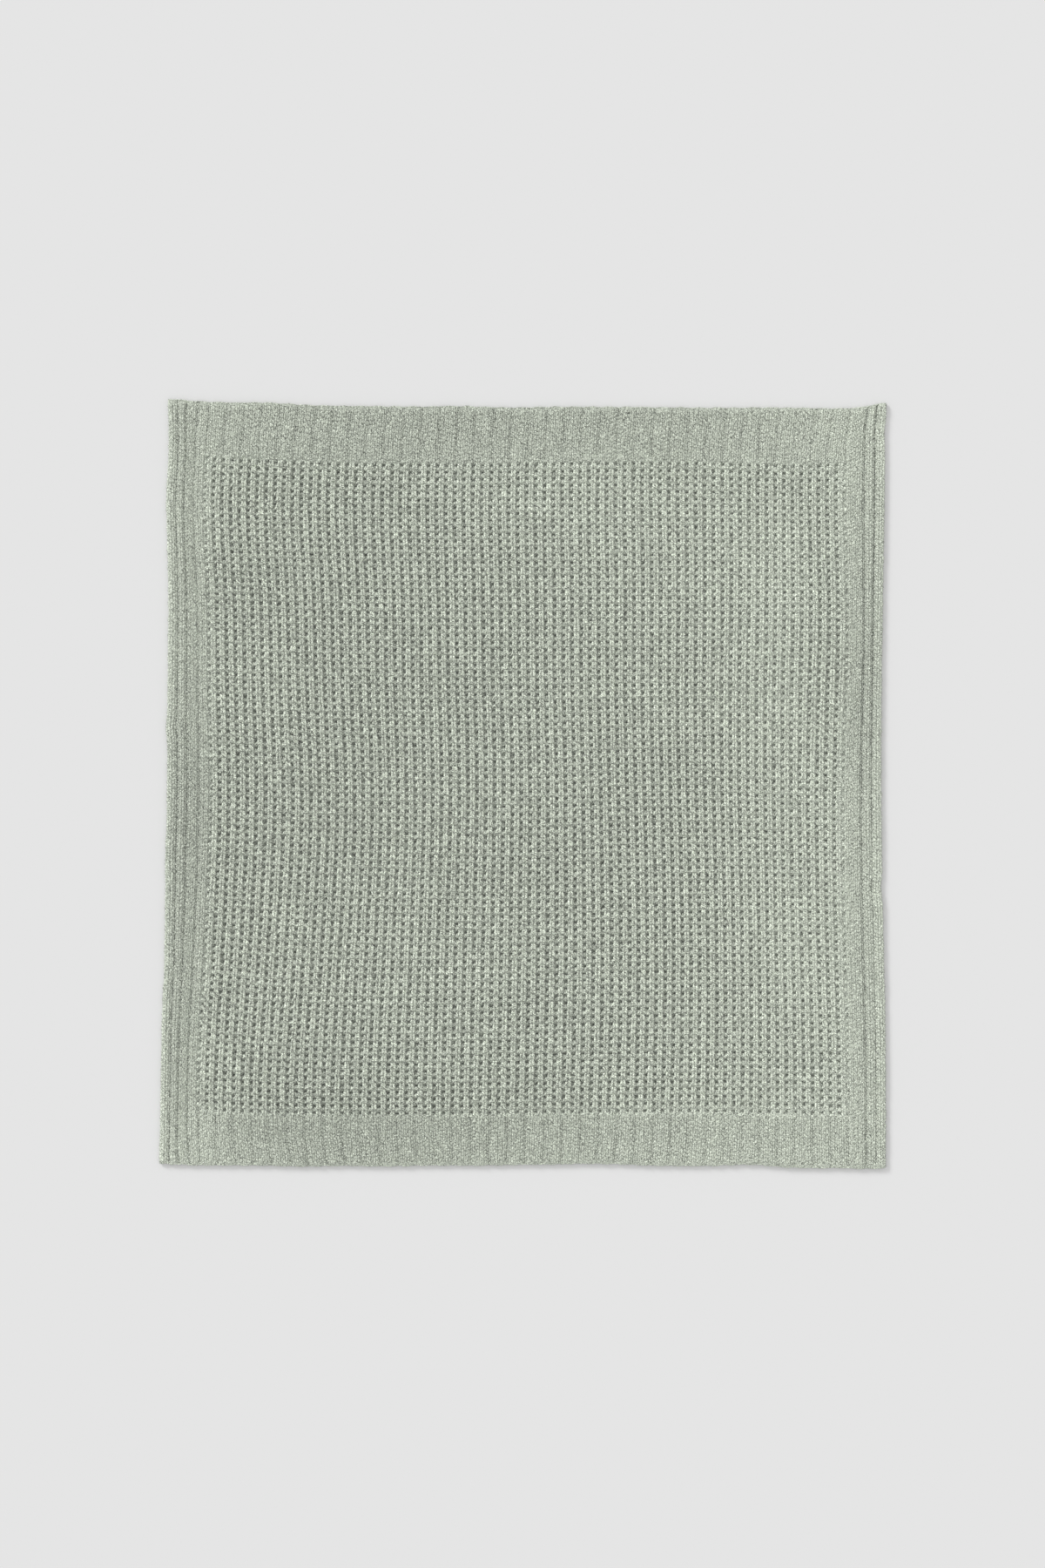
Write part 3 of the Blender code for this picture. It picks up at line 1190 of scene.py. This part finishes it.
def make_floor(light):
    """A wide level floor, just under the cloth."""
    half = FLOOR_HALF_SIDE
    corners = np.array(((-half, -half), (half, -half), (half, half), (-half, half)))
    points = np.column_stack((corners, np.full(4, CLOTH_LOW.z - FLOOR_GAP)))
    mesh = bpy.data.meshes.new("floor")
    mesh.from_pydata(points.tolist(), [], [(0, 1, 2, 3)])
    material = bpy.data.materials.new("pale_floor")
    material.use_nodes = True
    shader = material.node_tree.nodes["Principled BSDF"]
    shader.inputs["Base Color"].default_value = (*light.floor, 1.0)
    shader.inputs["Roughness"].default_value = 1.0
    shader.inputs["Specular IOR Level"].default_value = 0.0
    mesh.materials.append(material)
    floor = bpy.data.objects.new("floor", mesh)
    bpy.context.scene.collection.objects.link(floor)


def make_lights(light):
    """A broad key light from the upper left, and an even fill from all round."""
    key = bpy.data.lights.new("key", "SUN")
    key.energy = light.sun
    key.angle = np.radians(light.spread)
    lamp = bpy.data.objects.new("key", key)
    above, around = np.radians(light.height), np.radians(KEY_TURN)
    toward = (np.cos(above) * np.cos(around), np.cos(above) * np.sin(around), np.sin(above))
    lamp.rotation_euler = Vector(toward).to_track_quat("Z", "Y").to_euler()
    bpy.context.scene.collection.objects.link(lamp)

    world = bpy.data.worlds.new("studio")
    world.use_nodes = True
    sky = world.node_tree.nodes["Background"]
    sky.inputs["Color"].default_value = (1.0, 1.0, 1.0, 1.0)
    sky.inputs["Strength"].default_value = light.sky
    bpy.context.scene.world = world


def make_camera():
    """A long lens straight above the cloth, with +Y up in its view."""
    data = bpy.data.cameras.new("camera")
    data.lens = LENS
    data.sensor_width = SENSOR
    camera = bpy.data.objects.new("camera", data)
    camera.location = (0.0, 0.0, VIEW_LENGTH * LENS / SENSOR)
    bpy.context.scene.collection.objects.link(camera)
    bpy.context.scene.camera = camera


# ---------------------------------------------------------------- the add-on


class BLANKET_OT_ground(Operator):
    """Knit the ground cloth"""

    bl_idname = "blanket.ground"
    bl_label = "Ground cloth"
    bl_options = {"REGISTER", "UNDO"}

    def execute(self, context):
        scene = context.scene
        make_ground(scene.knit_sizes, plain_cotton(scene.yarn_colours))
        return {"FINISHED"}


class BLANKET_OT_ribs(Operator):
    """Knit the ribs of the waffle"""

    bl_idname = "blanket.ribs"
    bl_label = "Waffle ribs"
    bl_options = {"REGISTER", "UNDO"}

    def execute(self, context):
        scene = context.scene
        make_ribs(scene.knit_sizes, waffle_cotton(scene.yarn_colours))
        return {"FINISHED"}


class BLANKET_OT_bars(Operator):
    """Knit the bars of the waffle"""

    bl_idname = "blanket.bars"
    bl_label = "Waffle bars"
    bl_options = {"REGISTER", "UNDO"}

    def execute(self, context):
        scene = context.scene
        make_bars(scene.knit_sizes, waffle_cotton(scene.yarn_colours))
        return {"FINISHED"}


class BLANKET_OT_bands(Operator):
    """Knit the plain bands"""

    bl_idname = "blanket.bands"
    bl_label = "Plain bands"
    bl_options = {"REGISTER", "UNDO"}

    def execute(self, context):
        scene = context.scene
        make_bands(scene.knit_sizes, plain_cotton(scene.yarn_colours))
        return {"FINISHED"}


class BLANKET_OT_sides(Operator):
    """Knit the ribbed sides"""

    bl_idname = "blanket.sides"
    bl_label = "Ribbed sides"
    bl_options = {"REGISTER", "UNDO"}

    def execute(self, context):
        scene = context.scene
        make_side_ribs(scene.knit_sizes, plain_cotton(scene.yarn_colours))
        return {"FINISHED"}


class BLANKET_OT_edges(Operator):
    """Chain the outermost yarn"""

    bl_idname = "blanket.edges"
    bl_label = "Edge chain"
    bl_options = {"REGISTER", "UNDO"}

    def execute(self, context):
        scene = context.scene
        make_edges(scene.knit_sizes, plain_cotton(scene.yarn_colours))
        return {"FINISHED"}


class BLANKET_OT_stage(Operator):
    """Set the floor, the lights and the camera"""

    bl_idname = "blanket.stage"
    bl_label = "Stage"
    bl_options = {"REGISTER", "UNDO"}

    def execute(self, context):
        scene = context.scene
        make_floor(scene.stage_light)
        make_lights(scene.stage_light)
        make_camera()
        scene.view_settings.view_transform = "Standard"
        return {"FINISHED"}


class BLANKET_PT_panel(Panel):
    """The blanket's steps and sizes, in the sidebar"""

    bl_idname = "BLANKET_PT_panel"
    bl_label = "Waffle Knit Blanket"
    bl_space_type = "VIEW_3D"
    bl_region_type = "UI"
    bl_category = "Blanket"

    def draw(self, context):
        for step in STEPS:
            self.layout.operator(step.bl_idname)
        for group in (
            context.scene.knit_sizes,
            context.scene.yarn_colours,
            context.scene.stage_light,
        ):
            box = self.layout.box()
            for label in group.__annotations__:
                box.prop(group, label)


STEPS = (
    BLANKET_OT_ground,
    BLANKET_OT_ribs,
    BLANKET_OT_bars,
    BLANKET_OT_bands,
    BLANKET_OT_sides,
    BLANKET_OT_edges,
    BLANKET_OT_stage,
)
GROUPS = (
    ("knit_sizes", KnitSizes),
    ("yarn_colours", YarnColours),
    ("stage_light", StageLight),
)


def register():
    for label, group in GROUPS:
        bpy.utils.register_class(group)
        setattr(bpy.types.Scene, label, PointerProperty(type=group))
    for thing in (*STEPS, BLANKET_PT_panel):
        bpy.utils.register_class(thing)


def unregister():
    for thing in reversed((*STEPS, BLANKET_PT_panel)):
        bpy.utils.unregister_class(thing)
    for label, group in reversed(GROUPS):
        delattr(bpy.types.Scene, label)
        bpy.utils.unregister_class(group)


def main():
    register()
    bpy.ops.blanket.ground()
    bpy.ops.blanket.ribs()
    bpy.ops.blanket.bars()
    bpy.ops.blanket.bands()
    bpy.ops.blanket.sides()
    bpy.ops.blanket.edges()
    bpy.ops.blanket.stage()


if __name__ == "__main__":
    main()
